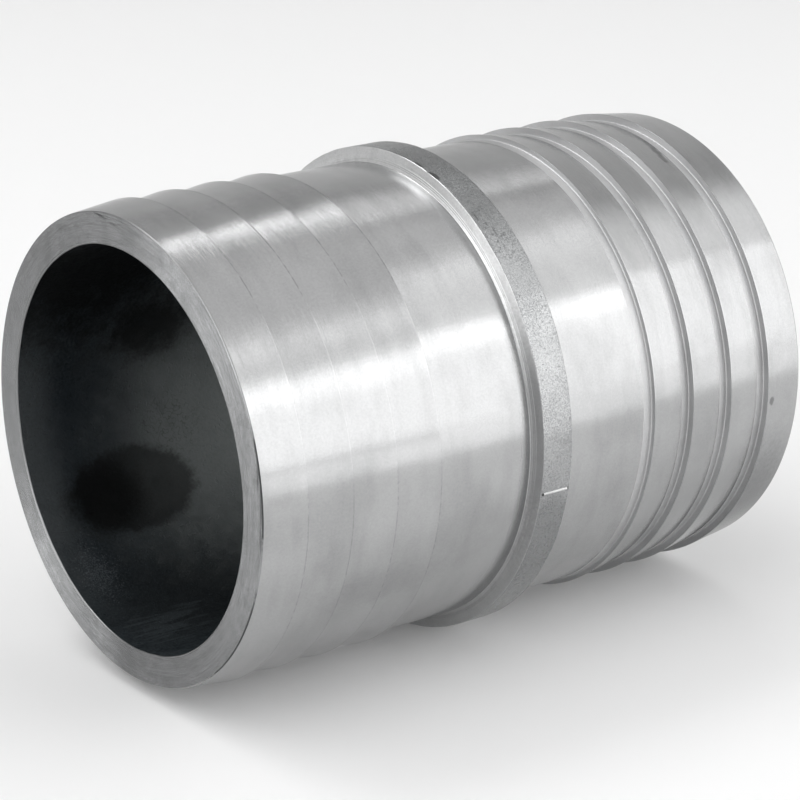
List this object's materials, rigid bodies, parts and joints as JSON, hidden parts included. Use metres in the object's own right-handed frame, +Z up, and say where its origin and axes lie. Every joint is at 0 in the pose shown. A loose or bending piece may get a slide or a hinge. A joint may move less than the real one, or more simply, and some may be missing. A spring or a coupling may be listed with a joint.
{
  "type": "hose joiner",
  "caption": "Straight aluminium hose joiner: a raised collar with a barbed hose tail on each side and a plain bore right through for the flow.",
  "frame": {"origin": "on the bore axis, halfway along the joiner, in the middle of the collar", "axes": "+X along the bore axis, away from the end that faces the camera in the picture; +Z up, with the joiner lying on its collar"},
  "size_m": [0.1424, 0.1062, 0.1062],
  "materials": {
    "joiner_body": "bare aluminium: tails, end faces and collar sides turned to a satin; bore and collar band left as cast"
  },
  "bodies": {
    "root": {"joiner_body": "joiner_body"}
  },
  "joints": []
}
